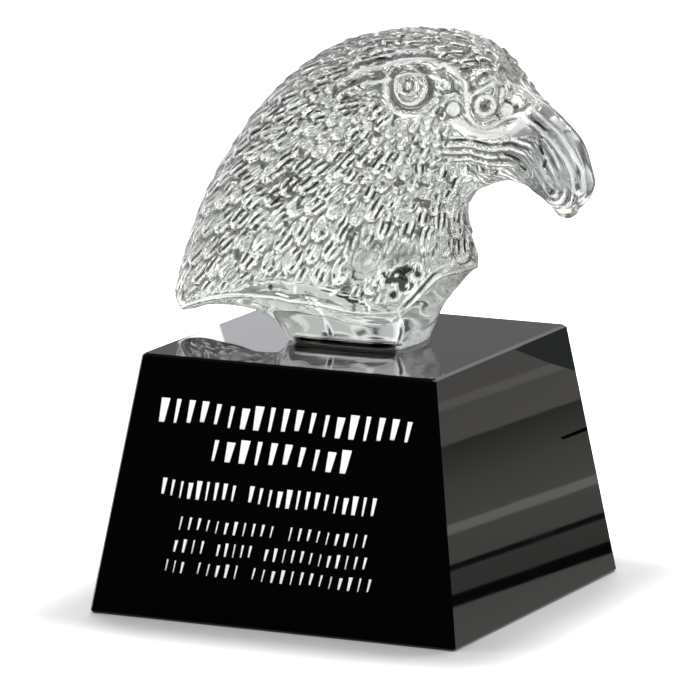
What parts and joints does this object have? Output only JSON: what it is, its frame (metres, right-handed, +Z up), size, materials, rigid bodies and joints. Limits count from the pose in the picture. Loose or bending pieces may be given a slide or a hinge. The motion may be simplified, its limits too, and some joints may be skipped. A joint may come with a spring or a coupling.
{
  "type": "crystal eagle head sculpture",
  "caption": "Clear glass eagle head with carved feathers, brow, eye and hooked beak, standing on a tapering square black glass plinth with a cut inscription panel.",
  "frame": {"origin": "middle of the plinth's underside", "axes": "+Z up, +X the way the beak points, -Y out of the inscribed face"},
  "size_m": [0.1428, 0.1248, 0.1814],
  "materials": {
    "black_glass": "polished black glass, cut strokes frosted white",
    "clear_glass": "clear moulded glass, fire polished"
  },
  "bodies": {
    "root": {"plinth": "black_glass", "eagle_head": "clear_glass"}
  },
  "joints": []
}
